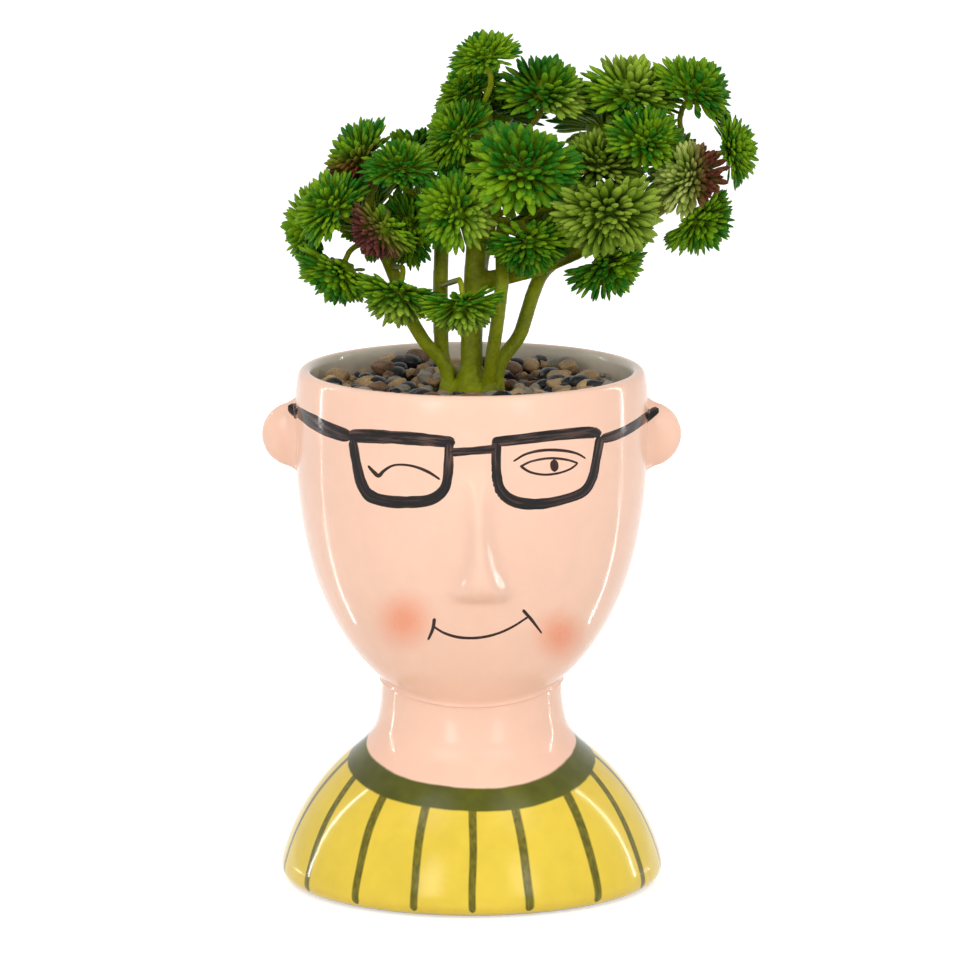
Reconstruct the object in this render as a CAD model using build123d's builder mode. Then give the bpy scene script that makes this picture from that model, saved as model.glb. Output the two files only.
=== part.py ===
from build123d import *
import math
import os

os.makedirs("parts", exist_ok=True)

# Head planter with an artificial succulent. Millimetres, +Z up, the face looks to -Y.

# Driving dimensions of the pot
pot_height = 156.0
bust_radius = 57.8
foot_radius = 53.0
foot_height = 4.5
neck_radius = 27.0
head_radius = 53.0
wall = 4.5
nose_rise = 7.5
nose_half_width = 6.5
ear_radius = 9.8
ear_thickness = 9.0
ear_round = 3.4

# Driving dimensions of the filling
gravel_below_rim = 10.5
gravel_bed_depth = 4.0
foam_gap = 0.4
stone_height = 5.6
stone_width = 8.6

# Driving dimensions of the plant
leaf_length = 10.0
crown_radius = 11.0
crown_height = 4.0
socket_depth = 3.0
socket_gap = 0.15
twig_radius = 1.1
wire_radius = 1.2
wire_gap = 0.8
wire_length = 28.0

# Levels that follow from the pot height
shoulder_level = 0.157 * pot_height
collar_level = 0.266 * pot_height
neck_level = 0.372 * pot_height
neck_top = 0.404 * pot_height
chin_level = 0.346 * pot_height
cheek_level = 0.897 * pot_height
ear_level = 0.872 * pot_height
lip_level = pot_height - 6.0
bed_top = pot_height - gravel_below_rim
foam_top = bed_top - gravel_bed_depth


# Head: close to a superellipse of revolution, widest at the cheek level
def head_width(level):
    if level < cheek_level:
        share = (cheek_level - level) / (cheek_level - chin_level)
    else:
        share = (level - cheek_level) / (0.449 * pot_height)
    return head_radius * (1 - share**2.3) ** (1 / 2.3)


def head_point(share):
    return (head_width(share * pot_height), share * pot_height)


# Nose: share of the pot height, rise above the face, and half width, from the end to the brow
nose_slices = [
    (0.596, -0.10, 1.00),
    (0.611, 0.55, 1.12),
    (0.632, 0.98, 1.10),
    (0.660, 0.90, 0.90),
    (0.710, 0.60, 0.74),
    (0.770, 0.26, 0.70),
    (0.830, -0.05, 0.76),
]


# One level cut through the nose: a bell on the round face, closed behind it
def nose_outline(share, rise, width):
    reach, level = head_point(share)
    points = []
    for step in (-1.8, -1.2, -0.6, 0.0, 0.6, 1.2, 1.8):
        across = step * width * nose_half_width
        face = math.sqrt(reach**2 - across**2)
        points.append((across, -face - rise * nose_rise * math.exp(-(step**2)) + 0.15))
    return points


# Inside of the head: plain cones, a wall's thickness within the outside
inside_levels = [0.40, 0.46, 0.57, 0.70, 0.86]
inside_profile = []
for part_of_height in inside_levels:
    level = part_of_height * pot_height
    inside_profile.append((head_width(level) - 1.12 * wall, level))
mouth_radius = head_width(pot_height) - wall
throat_radius = neck_radius - wall

with BuildPart() as ceramic_pot:
    # Bust and neck
    with BuildSketch(Plane.XZ):
        with BuildLine():
            shoulder = ThreePointArc(
                (bust_radius, foot_height),
                (0.857 * bust_radius, shoulder_level),
                (0.58 * bust_radius, collar_level),
            )
            neck = TangentArc(shoulder @ 1, (neck_radius, neck_level), tangent=shoulder % 1)
            Polyline(
                neck @ 1,
                (neck_radius, neck_top),
                (0, neck_top),
                (0, 0),
                (foot_radius, 0),
                (bust_radius - 1.0, 0.35 * foot_height),
                (bust_radius, foot_height),
            )
        make_face()
    revolve(axis=Axis.Z)
    # Head
    with BuildSketch(Plane.XZ):
        with BuildLine():
            chin = ThreePointArc(head_point(0.385), head_point(0.417), head_point(0.474))
            cheek = TangentArc(chin @ 1, head_point(0.667), tangent=chin % 1)
            Polyline(
                cheek @ 1,
                head_point(0.75),
                head_point(0.85),
                (head_width(lip_level), lip_level),
                (0, lip_level),
                (0, 0.385 * pot_height),
                chin @ 0,
            )
        make_face()
    revolve(axis=Axis.Z)
    # Nose
    for share, rise, width in nose_slices:
        outline = nose_outline(share, rise, width)
        with BuildSketch(Plane.XY.offset(share * pot_height)):
            with BuildLine():
                Spline(*outline)
                Polyline(
                    outline[-1],
                    (outline[-1][0], outline[-1][1] + wall),
                    (outline[0][0], outline[0][1] + wall),
                    outline[0],
                )
            make_face()
    loft()
    # Ears
    with BuildSketch(Plane.XZ.offset(-ear_thickness / 2)):
        with Locations((head_radius, ear_level), (-head_radius, ear_level)):
            Circle(ear_radius)
    extrude(amount=ear_thickness)
    ear_edges = ceramic_pot.edges().filter_by(GeomType.CIRCLE)
    fillet(ear_edges.filter_by(lambda edge: abs(edge.radius - ear_radius) < 0.01), ear_round)
    # Rounded lip
    with BuildSketch(Plane.XZ):
        with BuildLine():
            Polyline(
                (head_width(lip_level), lip_level),
                (mouth_radius + wall, pot_height - 0.45 * wall),
                (mouth_radius + 0.88 * wall, pot_height - 0.16 * wall),
                (mouth_radius + 0.62 * wall, pot_height),
                (mouth_radius + 0.38 * wall, pot_height),
                (mouth_radius + 0.12 * wall, pot_height - 0.16 * wall),
                (mouth_radius, pot_height - 0.45 * wall),
                (mouth_radius, lip_level),
                close=True,
            )
        make_face()
    revolve(axis=Axis.Z)
    # Hollow, from the floor of the bust to the mouth
    with BuildSketch(Plane.XZ):
        with BuildLine():
            Polyline(
                (0, 1.2 * wall),
                (bust_radius - 1.3 * wall, 1.2 * wall),
                (0.857 * bust_radius - 1.3 * wall, shoulder_level),
                (throat_radius, collar_level + wall),
                (throat_radius, inside_profile[0][1] - wall / 2),
                *inside_profile,
                (mouth_radius, lip_level),
                (mouth_radius, lip_level + 0.5),
                (0, lip_level + 0.5),
                close=True,
            )
        make_face()
    revolve(axis=Axis.Z, mode=Mode.SUBTRACT)
ceramic_pot.part.label = "ceramic_pot"
export_step(ceramic_pot.part, "parts/ceramic_pot.step")

# Foam: wedged on one cone of the inside, with a gap elsewhere
seat_low = inside_profile[1]
seat_high = inside_profile[2]
with BuildPart() as foam_plug:
    with BuildSketch(Plane.XZ):
        with BuildLine():
            Polyline(
                (wire_radius + wire_gap, seat_low[1]),
                seat_low,
                seat_high,
                (seat_high[0], foam_top),
                (wire_radius + wire_gap, foam_top),
                close=True,
            )
        make_face()
    revolve(axis=Axis.Z)
foam_plug.part.label = "foam_plug"
export_step(foam_plug.part, "parts/foam_plug.step")

bed_radius = min(mouth_radius, inside_profile[4][0]) - foam_gap
with BuildPart() as gravel_bed:
    with BuildSketch(Plane.XY.offset(foam_top)):
        Circle(bed_radius)
        Circle(wire_radius + wire_gap, mode=Mode.SUBTRACT)
    extrude(amount=gravel_bed_depth)
gravel_bed.part.label = "gravel_bed"
export_step(gravel_bed.part, "parts/gravel_bed.step")


# Stones: flat-bottomed lumps on rings round the crown, dealt out by colour
stone_rings = max(int((bed_radius - crown_radius - 1.0) / (stone_width + 0.3)), 1)
stone_places = []
for ring in range(stone_rings):
    ring_radius = bed_radius - 0.2 - stone_width / 2 - ring * (stone_width + 0.3)
    stone_count = int(2 * math.pi * ring_radius / (stone_width + 0.3))
    for index in range(stone_count):
        turn = 360 / stone_count * (index + 0.5 * (ring % 2))
        stone_places.append((ring_radius, turn, ring + index))

stone_colours = {"tan": (0, 3, 5), "brown": (1, 6), "black": (2,), "grey": (4,)}
for colour, picks in stone_colours.items():
    with BuildPart() as pebbles:
        for number, (ring_radius, turn, mix) in enumerate(stone_places):
            if (number * 3 + mix) % 7 not in picks:
                continue
            width = stone_width * (1.0 - 0.04 * (number % 4))
            height = stone_height * (0.7 + 0.15 * ((number * 5 + mix) % 3))
            middle = Vector(ring_radius, 0, bed_top).rotate(Axis.Z, turn)
            with BuildSketch(Plane(middle, x_dir=(1, 0.3 * (number % 5), 0))):
                RegularPolygon(width / 2, 5 + number % 2)
            extrude(amount=height, taper=20 - 3 * (number % 4))
    pebbles.part.label = "pebbles_" + colour
    export_step(pebbles.part, "parts/pebbles_" + colour + ".step")

# Plant. Places are for leaves 10 mm long, measured from the top of the crown.
crown_top = bed_top + crown_height
spread = leaf_length / 10.0
run = 7.0


def place(point):
    return Vector(point[0] * spread, point[1] * spread, crown_top + point[2] * spread)


# Each stem: radius and its points from the crown upwards
stems = {
    "stem_centre": (3.4, [(0, 1, 18), (1, 2, 35), (2, 4, 49), (3, 6, 65), (3, 6, 85)]),
    "stem_left_outer": (
        2.2,
        [(-7.8, -2, 8), (-14, -2, 14.5), (-18.4, -2, 22), (-20.5, -1, 28), (-25, 2, 39)]
        + [(-30, 4, 49), (-31, 5, 57)],
    ),
    "stem_left_inner": (2.4, [(-9, 3.5, 9), (-9.4, 3, 29), (-9, 4, 43), (-10, 3, 56)]),
    "stem_right_inner": (
        2.2,
        [(5.5, -6, 7), (7.6, -7, 21), (9.2, -6, 34.5), (9, 1, 43), (9.5, 2, 52)],
    ),
    "stem_right_outer": (
        2.3,
        [(8.6, 2.2, 8.5), (14.5, 5, 15.5), (18.4, 8, 28), (21, 10, 34), (30, 13, 41), (44, 11, 46)]
        + [(56, 9, 53), (64, 6, 61)],
    ),
    "stem_back": (2.2, [(1, 8, 12), (2, 14, 29), (4, 19, 41), (6, 22, 49)]),
}
stem_sockets = {
    "stem_centre": (0, 0),
    "stem_left_outer": (-7, -2),
    "stem_left_inner": (-5.5, 4.2),
    "stem_right_inner": (5, -5),
    "stem_right_outer": (7.2, 1.2),
    "stem_back": (1, 7.3),
}
# The centre stem forks into an arch to the right
fork_radius = 2.8
fork_points = [(1, 2, 32), (10, 2.5, 34), (20, 0, 37), (32.5, -3, 43), (40, -3, 50.5)]
fork_points += [(45, -1, 61), (46.5, 3, 73)]

# Each rosette: its stem, size, hub, facing, and where its twig leaves the stem
large, middle_size, small = 1.42, 1.16, 0.98
rosettes = [
    ("stem_centre", middle_size, (4.4, -3, 99.5), (-0.25, -0.3, 0.92), (3, 6, 84)),
    ("stem_centre", small, (0, 14.5, 87), (-0.5, 0.3, 0.8), (3, 6, 79)),
    ("stem_centre", large, (21.4, 7.7, 86.7), (0.15, -0.45, 0.88), (3, 6, 67)),
    ("stem_centre", middle_size, (-2.8, 1.8, 76.5), (-0.6, -0.6, 0.5), None),
    ("stem_centre", large, (15, -20.3, 69), (0, -0.92, 0.35), (2.5, 5, 56)),
    ("stem_centre", middle_size, (8.5, 24.7, 78.3), (0, 0.7, 0.7), (3, 6, 61)),
    ("stem_centre", large, (47.6, 7.3, 86.7), (0.1, -0.35, 0.93), (46.3, 2.5, 71)),
    ("stem_centre", middle_size, (51.5, -11, 75.2), (0.15, -0.6, 0.75), (44, -1.4, 59)),
    ("stem_centre", middle_size, (38, -4.6, 67.5), (0.1, -0.85, 0.5), (43, -1.8, 57)),
    ("stem_centre", large, (40.2, -22, 57), (0.1, -0.9, -0.3), (41.5, -2.4, 53.6)),
    ("stem_centre", middle_size, (39.8, -6.9, 40.5), (0.37, -0.42, -0.83), None),
    ("stem_left_outer", middle_size, (-38.5, -5.5, 38), (-0.4, -0.3, -0.86), (-27.5, 3, 44)),
    ("stem_left_outer", middle_size, (-46, 7, 48), (-0.98, -0.2, 0), (-29, 3.6, 47)),
    ("stem_left_outer", middle_size, (-40.3, -7, 55.3), (-0.6, -0.5, 0.6), (-30, 4, 50)),
    ("stem_left_outer", middle_size, (-32, 3.8, 68), (-0.79, -0.53, 0.32), (-31, 5, 56)),
    ("stem_left_outer", small, (-26.3, -16, 51.7), (-0.3, -0.8, -0.5), (-30.6, 4.6, 54)),
    ("stem_left_outer", middle_size, (-21.4, -14.8, 33), (-0.2, -0.55, -0.8), (-24, 1.4, 37)),
    ("stem_left_outer", middle_size, (-28.7, 21.3, 49.8), (-0.53, 0.84, -0.1), (-26, 2.4, 41)),
    ("stem_left_inner", middle_size, (-4.5, -17, 56.7), (-0.15, -0.95, 0.1), (-9, 3.9, 44)),
    ("stem_left_inner", middle_size, (-2.5, -24.5, 31), (0.1, -0.6, -0.8), (-9.3, 3.1, 31)),
    ("stem_left_inner", middle_size, (-21.2, -10.2, 67.6), (-0.05, -0.6, 0.8), (-9.9, 3.1, 54)),
    ("stem_left_inner", middle_size, (-16.4, 21.2, 64.2), (-0.35, 0.85, 0.4), (-9.8, 3.2, 53)),
    ("stem_left_inner", small, (-17.8, -3, 49), (-0.5, -0.8, 0.05), (-9.3, 3.7, 43)),
    ("stem_right_inner", large, (16.6, -13.5, 47.5), (0.12, -0.8, -0.55), (9.4, 1.8, 50)),
    ("stem_right_outer", middle_size, (66.7, -3.2, 53), (0.6, -0.44, -0.66), (57, 8.8, 53.8)),
    ("stem_right_outer", small, (64.7, -19.4, 66.5), (-0.25, -0.95, 0.2), (63, 6.4, 60)),
    ("stem_right_outer", middle_size, (76.2, -2, 72.2), (0.92, -0.3, 0.25), (63.5, 6.2, 60.5)),
    ("stem_right_outer", middle_size, (65.4, 2.5, 88.4), (0.5, -0.3, 0.8), (64, 6, 61)),
    ("stem_right_outer", middle_size, (58.7, 17.2, 64.7), (0.42, 0.9, 0.1), (56, 9, 53)),
    ("stem_back", large, (8, 30.5, 58.3), (0, 0.97, 0.2), (5, 20.5, 45)),
    ("stem_back", middle_size, (25.3, 23, 50.4), (0.2, 0.88, -0.42), (4.3, 19.5, 42)),
    ("stem_back", large, (39.3, 23.2, 74.8), (0.2, 0.77, 0.61), (6, 22, 48)),
]


# A stem or twig: a many-sided section along a path whose corners are cut off
def limb(points, radius, sides, bend):
    path_points = [points[0]]
    for before, corner, after in zip(points, points[1:], points[2:]):
        path_points.append(corner + (before - corner).normalized() * bend)
        path_points.append(corner + (after - corner).normalized() * bend)
    path_points.append(points[-1])
    with BuildLine() as path:
        Polyline(*path_points)
    with BuildSketch(Plane(path.line @ 0, z_dir=path.line % 0)) as section:
        RegularPolygon(radius, sides)
    sweep(section.sketch, path=path.wire(), transition=Transition.RIGHT)


with BuildPart() as stem_crown:
    with BuildSketch(Plane.XY.offset(bed_top)):
        Circle(crown_radius)
    extrude(amount=crown_height)
    for name, socket in stem_sockets.items():
        with BuildSketch(Plane.XY.offset(crown_top)):
            with Locations(socket):
                RegularPolygon(stems[name][0] + socket_gap, 8)
        extrude(amount=-socket_depth, mode=Mode.SUBTRACT)
stem_crown.part.label = "stem_crown"
export_step(stem_crown.part, "parts/stem_crown.step")

with BuildPart() as anchor_wire:
    with BuildSketch(Plane.XY.offset(bed_top)):
        Circle(wire_radius)
    extrude(amount=-wire_length)
anchor_wire.part.label = "anchor_wire"
export_step(anchor_wire.part, "parts/anchor_wire.step")

for stem_name, (radius, points) in stems.items():
    socket = stem_sockets[stem_name]
    foot = Vector(socket[0], socket[1], crown_top - socket_depth)
    collar = Vector(socket[0], socket[1], crown_top + 2.0 * spread)
    with BuildPart() as stem:
        limb([foot, collar] + [place(point) for point in points], radius, 8, 1.6 * spread)
        if stem_name == "stem_centre":
            limb([place(point) for point in fork_points], fork_radius, 8, 1.6 * spread)
        for owner, size, hub, facing, start in rosettes:
            if owner != stem_name:
                continue
            aim = Vector(facing).normalized()
            end = place(hub)
            if start is None:
                with BuildSketch(Plane(end - aim * 8.5 * spread, z_dir=aim)):
                    RegularPolygon(twig_radius, 6)
                extrude(amount=8.5 * spread)
            else:
                limb([place(start), end - aim * run * spread, end], twig_radius, 6, 1.8 * spread)
    stem.part.label = stem_name
    export_step(stem.part, "parts/" + stem_name + ".step")


# A rosette: a hub with a blind bore, a bud, and rings of kite-shaped leaves
def rosette(length):
    hub_depth = 3.2
    with BuildPart() as cluster:
        with BuildSketch(Plane.XY.offset(-hub_depth)) as hub:
            RegularPolygon(0.24 * length, 6)
        extrude(hub.sketch, amount=hub_depth + 0.5)
        for low, high, girth in ((-0.04, 0.34, 0.52), (0.3, 0.54, 0.34)):
            with BuildSketch(Plane.XY.offset(low * length)) as bud:
                RegularPolygon(girth * length, 8)
            extrude(bud.sketch, amount=(high - low) * length)
        for count, lean, offset, reach in ((8, 8, 22.5, 1.0), (5, 44, 0, 0.92), (1, 90, 0, 0.82)):
            for index in range(count):
                turn = math.radians(360 / count * index + offset)
                rise = math.radians(lean)
                out = math.cos(rise)
                aim = Vector(out * math.cos(turn), out * math.sin(turn), math.sin(rise))
                side = Vector(-math.sin(turn), math.cos(turn), 0)
                blade = Plane((0, 0, 0), x_dir=aim, z_dir=aim.cross(side))
                with BuildSketch(blade) as kite:
                    with BuildLine():
                        Polyline(
                            (0.3 * length, 0),
                            (0.7 * reach * length, 0.19 * length),
                            (reach * length, 0),
                            (0.7 * reach * length, -0.19 * length),
                            close=True,
                        )
                    make_face()
                extrude(kite.sketch, amount=0.07 * length, both=True)
        with BuildSketch(Plane.XY.offset(-hub_depth)) as bore:
            RegularPolygon(twig_radius + 0.1, 6, major_radius=False)
        extrude(bore.sketch, amount=hub_depth, mode=Mode.SUBTRACT)
    return cluster.part


masters = {size: rosette(size * leaf_length) for size in (large, middle_size, small)}
for number, (owner, size, hub, facing, start) in enumerate(rosettes, 1):
    with BuildPart() as leaf_rosette:
        with Locations(Plane(place(hub), z_dir=facing)):
            add(masters[size])
    leaf_rosette.part.label = f"leaf_rosette_{number:02d}"
    export_step(leaf_rosette.part, f"parts/leaf_rosette_{number:02d}.step")
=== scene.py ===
"""Head planter with an artificial succulent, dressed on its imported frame."""

import math
import random

import bmesh
import bpy
from bpy.props import FloatProperty, FloatVectorProperty, IntProperty, PointerProperty
from mathutils import Matrix, Quaternion, Vector
from mathutils.bvhtree import BVHTree


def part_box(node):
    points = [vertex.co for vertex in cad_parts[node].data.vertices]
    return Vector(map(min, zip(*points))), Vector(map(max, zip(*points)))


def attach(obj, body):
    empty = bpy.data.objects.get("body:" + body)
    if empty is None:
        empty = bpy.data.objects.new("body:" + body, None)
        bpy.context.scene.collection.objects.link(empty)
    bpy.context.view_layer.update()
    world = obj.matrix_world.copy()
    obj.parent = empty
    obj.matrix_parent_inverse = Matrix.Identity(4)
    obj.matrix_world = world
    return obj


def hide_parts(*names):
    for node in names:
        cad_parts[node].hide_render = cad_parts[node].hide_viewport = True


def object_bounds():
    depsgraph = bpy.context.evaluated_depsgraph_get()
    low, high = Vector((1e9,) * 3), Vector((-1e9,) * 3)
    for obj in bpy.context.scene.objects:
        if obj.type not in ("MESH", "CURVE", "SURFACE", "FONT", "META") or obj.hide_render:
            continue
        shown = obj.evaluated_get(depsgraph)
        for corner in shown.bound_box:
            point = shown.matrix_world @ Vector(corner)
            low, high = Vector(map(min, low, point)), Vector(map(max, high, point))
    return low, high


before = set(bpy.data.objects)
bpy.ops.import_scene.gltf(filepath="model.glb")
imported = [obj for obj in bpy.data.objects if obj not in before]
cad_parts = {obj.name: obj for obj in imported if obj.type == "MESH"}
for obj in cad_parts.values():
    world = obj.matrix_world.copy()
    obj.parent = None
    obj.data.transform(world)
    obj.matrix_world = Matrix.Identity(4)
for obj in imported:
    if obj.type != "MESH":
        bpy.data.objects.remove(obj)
cad_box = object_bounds()

bl_info = {
    "name": "Head planter",
    "version": (1, 0, 0),
    "blender": (4, 5, 0),
    "location": "View3D > Sidebar > Planter",
    "description": "Dresses a ceramic head planter and its artificial succulent",
    "category": "Object",
}

MM = 0.001
FULL_TURN = 6.28
GOLDEN_TURN = 2.39996

# Where the camera stands and aims, in metres; the face is painted as seen from there
CAMERA_AT = (0.0, -2.314, 0.538)
CAMERA_AIM = (0.0025, 0.0, 0.122)
CAMERA_LENS = 293.8
VIEW_SQUASH = 0.982

# Levels taken from the frame, in millimetres
POT_TOP = 156.0
BED_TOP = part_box("gravel_bed")[1][2] / MM
CROWN_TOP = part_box("stem_crown")[1][2] / MM

# Each leaf head: hub above the crown, facing and leaf length in millimetres, and its tint
LEAF_HEADS = (
    ((4.4, -3, 99.5), (-0.25, -0.3, 0.92), 11.6, "green"),
    ((0, 14.5, 87), (-0.5, 0.3, 0.8), 9.8, "green"),
    ((21.4, 7.7, 86.7), (0.15, -0.45, 0.88), 14.2, "green"),
    ((-2.8, 1.8, 76.5), (-0.6, -0.6, 0.5), 11.6, "green"),
    ((15, -20.3, 69), (0, -0.92, 0.35), 14.2, "green"),
    ((8.5, 24.7, 78.3), (0, 0.7, 0.7), 11.6, "green"),
    ((47.6, 7.3, 86.7), (0.1, -0.35, 0.93), 14.2, "green"),
    ((51.5, -11, 75.2), (0.15, -0.6, 0.75), 11.6, "green"),
    ((38, -4.6, 67.5), (0.1, -0.85, 0.5), 11.6, "pale"),
    ((40.2, -22, 57), (0.1, -0.9, -0.3), 14.2, "pale"),
    ((39.8, -6.9, 40.5), (0.37, -0.42, -0.83), 11.6, "green"),
    ((-38.5, -5.5, 38), (-0.4, -0.3, -0.86), 11.6, "green"),
    ((-46, 7, 48), (-0.98, -0.2, 0), 11.6, "green"),
    ((-40.3, -7, 55.3), (-0.6, -0.5, 0.6), 11.6, "green"),
    ((-32, 3.8, 68), (-0.79, -0.53, 0.32), 11.6, "rust"),
    ((-26.3, -16, 51.7), (-0.3, -0.8, -0.5), 9.8, "ruby"),
    ((-21.4, -14.8, 33), (-0.2, -0.55, -0.8), 11.6, "green"),
    ((-28.7, 21.3, 49.8), (-0.53, 0.84, -0.1), 11.6, "green"),
    ((-4.5, -17, 56.7), (-0.15, -0.95, 0.1), 11.6, "green"),
    ((-2.5, -24.5, 31), (0.1, -0.6, -0.8), 11.6, "green"),
    ((-21.2, -10.2, 67.6), (-0.05, -0.6, 0.8), 9.6, "green"),
    ((-16.4, 21.2, 64.2), (-0.35, 0.85, 0.4), 11.6, "green"),
    ((-17.8, -3, 49), (-0.5, -0.8, 0.05), 9.8, "green"),
    ((16.6, -13.5, 47.5), (0.12, -0.8, -0.55), 12.2, "green"),
    ((66.7, -3.2, 53), (0.6, -0.44, -0.66), 11.6, "green"),
    ((64.7, -19.4, 66.5), (-0.25, -0.95, 0.2), 9.8, "blush"),
    ((76.2, -2, 72.2), (0.92, -0.3, 0.25), 11.6, "green"),
    ((65.4, 2.5, 88.4), (0.5, -0.3, 0.8), 11.6, "green"),
    ((58.7, 17.2, 64.7), (0.42, 0.9, 0.1), 11.6, "green"),
    ((8, 30.5, 58.3), (0, 0.97, 0.2), 14.2, "green"),
    ((25.3, 23, 50.4), (0.2, 0.88, -0.42), 11.6, "green"),
    ((39.3, 23.2, 74.8), (0.2, 0.77, 0.61), 14.2, "green"),
)

# Heads with pale leaflets on one side: number of the head and where that side faces
PALE_SIDES = {
    3: (0.7, -0.3, -0.6), 7: (0.3, -0.3, 0.9), 17: (-0.1, -0.3, -0.9), 19: (0.8, -0.2, -0.2),
    20: (0.1, -0.3, -0.9), 30: (0.5, 0.6, 0.4), 32: (0.2, 0.7, -0.5),
}
PALE_SIDE = (0.28, 0.41, 0.035)
PALE_LEAF = ((0.11, 0.2, 0.008), (0.26, 0.37, 0.036))
BLUSH_LEAF = ((0.15, 0.24, 0.02), (0.42, 0.49, 0.12))

# Tinted heads: root and tip where they have their own, start of the tint from the hub in metres,
# its slope and its colour
HEAD_TINTS = {
    "rust": (None, (0, 0, 0.008), (40, -15, -110), (0.14, 0.036, 0.012)),
    "blush": (BLUSH_LEAF, (-0.003, 0, 0), (120, 0, 0), (0.1, 0.028, 0.012)),
    "ruby": (None, (0.006, 0, 0.002), (-75, 0, -60), (0.135, 0.038, 0.03)),
}

# Share of a head's facing towards front or back that its leaflets keep
FACING_DEPTH = 0.4

# Rings of a leaflet from its stalk: rise and growth of each
LEAFLET_RINGS = ((0.38, 1.0), (0.2, 1.5), (0.16, 1.24), (0.11, 0.92), (0.09, 0.62), (0.06, 0.1))

# Where the outer stems stand in the foot, in millimetres from its middle
STEM_SOCKETS = ((-7, -2), (-5.5, 4.2), (5, -5), (7.2, 1.2), (1, 7.3))

# Painted lines of the face, in millimetres across and up as seen from the front:
# each point has its half width as third number
SPECTACLES = (
    ((-37.4, 133.0, 2.1), (-30.0, 132.9, 2.2), (-18.0, 132.2, 2.1), (-4.9, 131.0, 1.9)),
    ((-35.8, 132.0, 1.5), (-34.4, 124.0, 1.6), (-33.0, 118.6, 1.8), (-30.4, 115.0, 2.0),
     (-25.0, 113.4, 2.0), (-18.0, 113.2, 1.9), (-12.4, 113.9, 1.9), (-8.6, 116.6, 1.8),
     (-7.2, 121.0, 1.6), (-6.7, 131.0, 1.6)),
    ((6.0, 131.1, 1.7), (14.0, 131.9, 1.8), (26.0, 133.3, 1.9), (36.2, 134.0, 1.9), (38.4, 132.6, 1.6)),
    ((7.4, 131.8, 1.6), (7.5, 121.0, 1.7), (9.2, 116.0, 1.8), (13.4, 113.2, 1.9), (20.0, 112.6, 1.8),
     (27.0, 113.8, 1.6), (33.4, 116.2, 1.6), (36.2, 120.4, 1.5), (37.4, 126.0, 1.5), (38.6, 132.8, 1.5)),
    ((-6.6, 128.0, 1.4), (0.0, 128.5, 1.3), (7.2, 129.1, 1.5)),
    ((-36.0, 132.6, 2.2), (-41.0, 134.2, 2.5), (-46.0, 136.4, 2.4), (-55.0, 142.0, 1.7)),
    ((38.6, 131.9, 1.6), (43.0, 133.2, 1.6), (48.0, 135.6, 1.6), (56.0, 141.2, 1.4)),
)
FINE_LINES = (
    ((-31.2, 124.2, 0.34), (-29.4, 122.2, 0.5), (-27.9, 121.1, 0.56), (-26.4, 122.5, 0.44),
     (-24.0, 124.0, 0.34), (-21.0, 124.4, 0.32), (-17.0, 123.8, 0.38), (-13.0, 122.2, 0.42), (-9.4, 119.9, 0.3)),
    ((14.4, 123.7, 0.32), (18.0, 125.4, 0.3), (23.3, 126.3, 0.32), (28.3, 125.9, 0.32), (32.0, 124.8, 0.28)),
    ((14.6, 124.0, 0.4), (17.5, 122.2, 0.36), (21.6, 121.4, 0.32), (25.8, 121.8, 0.3), (29.4, 123.0, 0.28),
     (31.8, 124.7, 0.26)),
    ((24.6, 126.0, 1.0), (24.8, 124.2, 1.1), (25.0, 122.2, 0.95)),
    ((12.4, 125.3, 0.24), (16.4, 127.6, 0.34), (21.6, 128.7, 0.4), (27.4, 128.6, 0.4), (31.6, 127.7, 0.34),
     (34.3, 126.2, 0.24)),
    ((-11.5, 75.8, 0.3), (-8.2, 73.8, 0.36), (-3.6, 72.5, 0.38), (2.0, 72.4, 0.36), (7.6, 73.6, 0.34),
     (12.5, 75.8, 0.32), (17.0, 78.7, 0.3)),
    ((-11.2, 78.4, 0.5), (-11.7, 75.1, 0.48), (-13.2, 71.6, 0.28)),
    ((15.3, 80.9, 0.5), (18.2, 77.6, 0.42), (21.2, 73.6, 0.24)),
)
CHEEKS = ((-20.4, 77.6, 11.5), (26.6, 73.0, 10.5))

# Angles of the shirt's stripes round the bust, in degrees from the front
STRIPES = (
    -180, -160, -140, -120, -100, -80, -59.9, -37.1, -17.9, 0.4,
    17, 41.5, 64, 84, 103, 122, 141, 160.5, 180,
)

# Stones of each colour: shares of dark and light tone, gloss, two grain sizes and depth, and their shapes
STONES = {
    "tan": (0.5, 1.25, (0.38, 0.6), 150, 1400, 0.0002, (1, 3, 5, 7, 0)),
    "brown": (0.45, 1.5, (0.35, 0.6), 170, 1500, 0.0002, (1, 3, 7, 2)),
    "black": (0.5, 1.9, (0.2, 0.42), 140, 1100, 0.0001, (0, 2, 4, 6, 5)),
    "grey": (0.5, 1.4, (0.35, 0.6), 160, 1300, 0.0002, (0, 2, 6, 3)),
}
STONE_KINDS = tuple(STONES)

# Lamps: place, width and height in metres, and share of the lamp power; strips show in gloss only
LAMPS = {
    "lamp_left": ((-0.75, -1.55, 0.7), 0.8, 1.5, 1.2),
    "lamp_right": ((0.9, -1.4, 0.66), 0.8, 1.5, 0.86),
    "lamp_top_left": ((-0.5, -0.5, 1.2), 0.9, 0.9, 0.34),
    "lamp_top_right": ((0.55, -0.5, 1.2), 0.9, 0.9, 0.3),
    "strip_left": ((-0.75, 0.32, 0.28), 0.012, 0.75, 0.16),
    "strip_right": ((0.75, 0.32, 0.28), 0.012, 0.75, 0.16),
    "strip_low_left": ((-0.43, 0.18, 0.002), 0.004, 0.66, 0.026),
    "strip_low_right": ((0.43, 0.18, 0.002), 0.004, 0.66, 0.026),
}
LAMP_AIM = (0.0, 0.0, 0.12)


def tint_property(name, description, default):
    """A colour setting."""
    return FloatVectorProperty(name=name, description=description, subtype="COLOR", default=default)


def length_property(name, description, default):
    """A length setting, in metres."""
    return FloatProperty(name=name, description=description, unit="LENGTH", default=default)


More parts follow.
